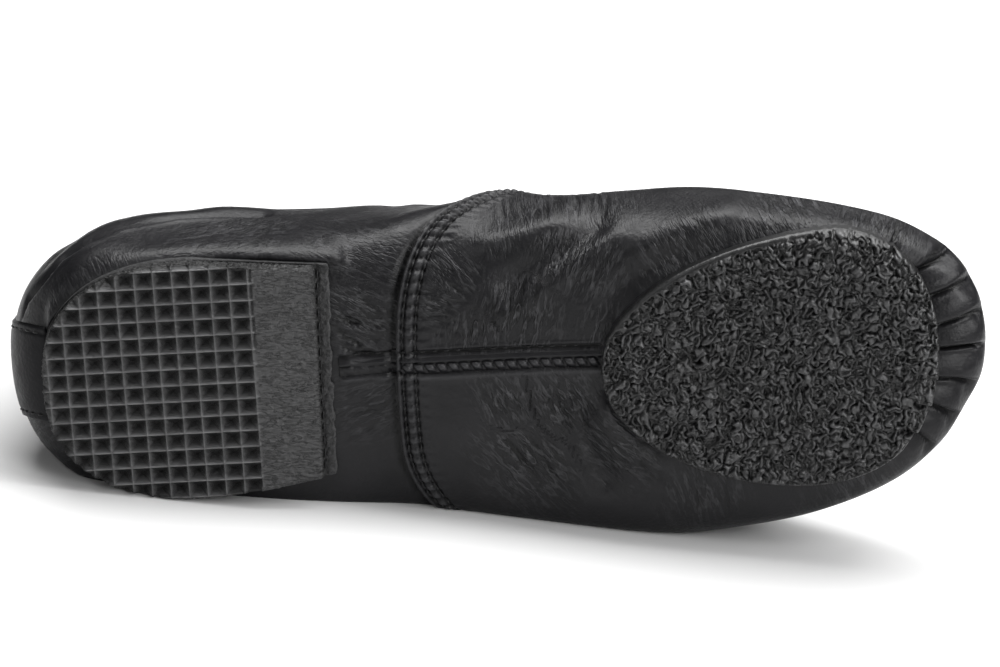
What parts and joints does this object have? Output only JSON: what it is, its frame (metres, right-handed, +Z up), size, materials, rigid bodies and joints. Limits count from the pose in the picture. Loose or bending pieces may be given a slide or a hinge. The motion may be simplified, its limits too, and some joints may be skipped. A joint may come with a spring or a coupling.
{
  "type": "dance boot",
  "caption": "Soft black leather split-sole dance boot for a left foot, lying on its outer side, with crepe forefoot pad, waffle rubber heel and slack ankle collar",
  "frame": {"origin": "middle of the lying boot's box, on the floor", "axes": "+X from heel to toe, -Y the way the sole faces, +Z up from the floor to the inner side of the boot"},
  "size_m": [0.2534, 0.1012, 0.0932],
  "materials": {
    "black_leather": "soft black leather, satin, creased and pleated",
    "crepe_rubber": "black crepe rubber with a wormy relief",
    "waffle_rubber": "dark grey rubber cut from waffle sheet, sanded at the front",
    "heel_sheet": "thin matte dark grey sheet with a rough cut edge",
    "sock_cloth": "plain dark woven sock"
  },
  "bodies": {
    "root": {"upper": "black_leather", "centre_seam": "black_leather", "back_stay": "black_leather", "forefoot_sole": "crepe_rubber", "heel_base": "heel_sheet", "heel_lift": "waffle_rubber", "insole": "sock_cloth"}
  },
  "joints": []
}
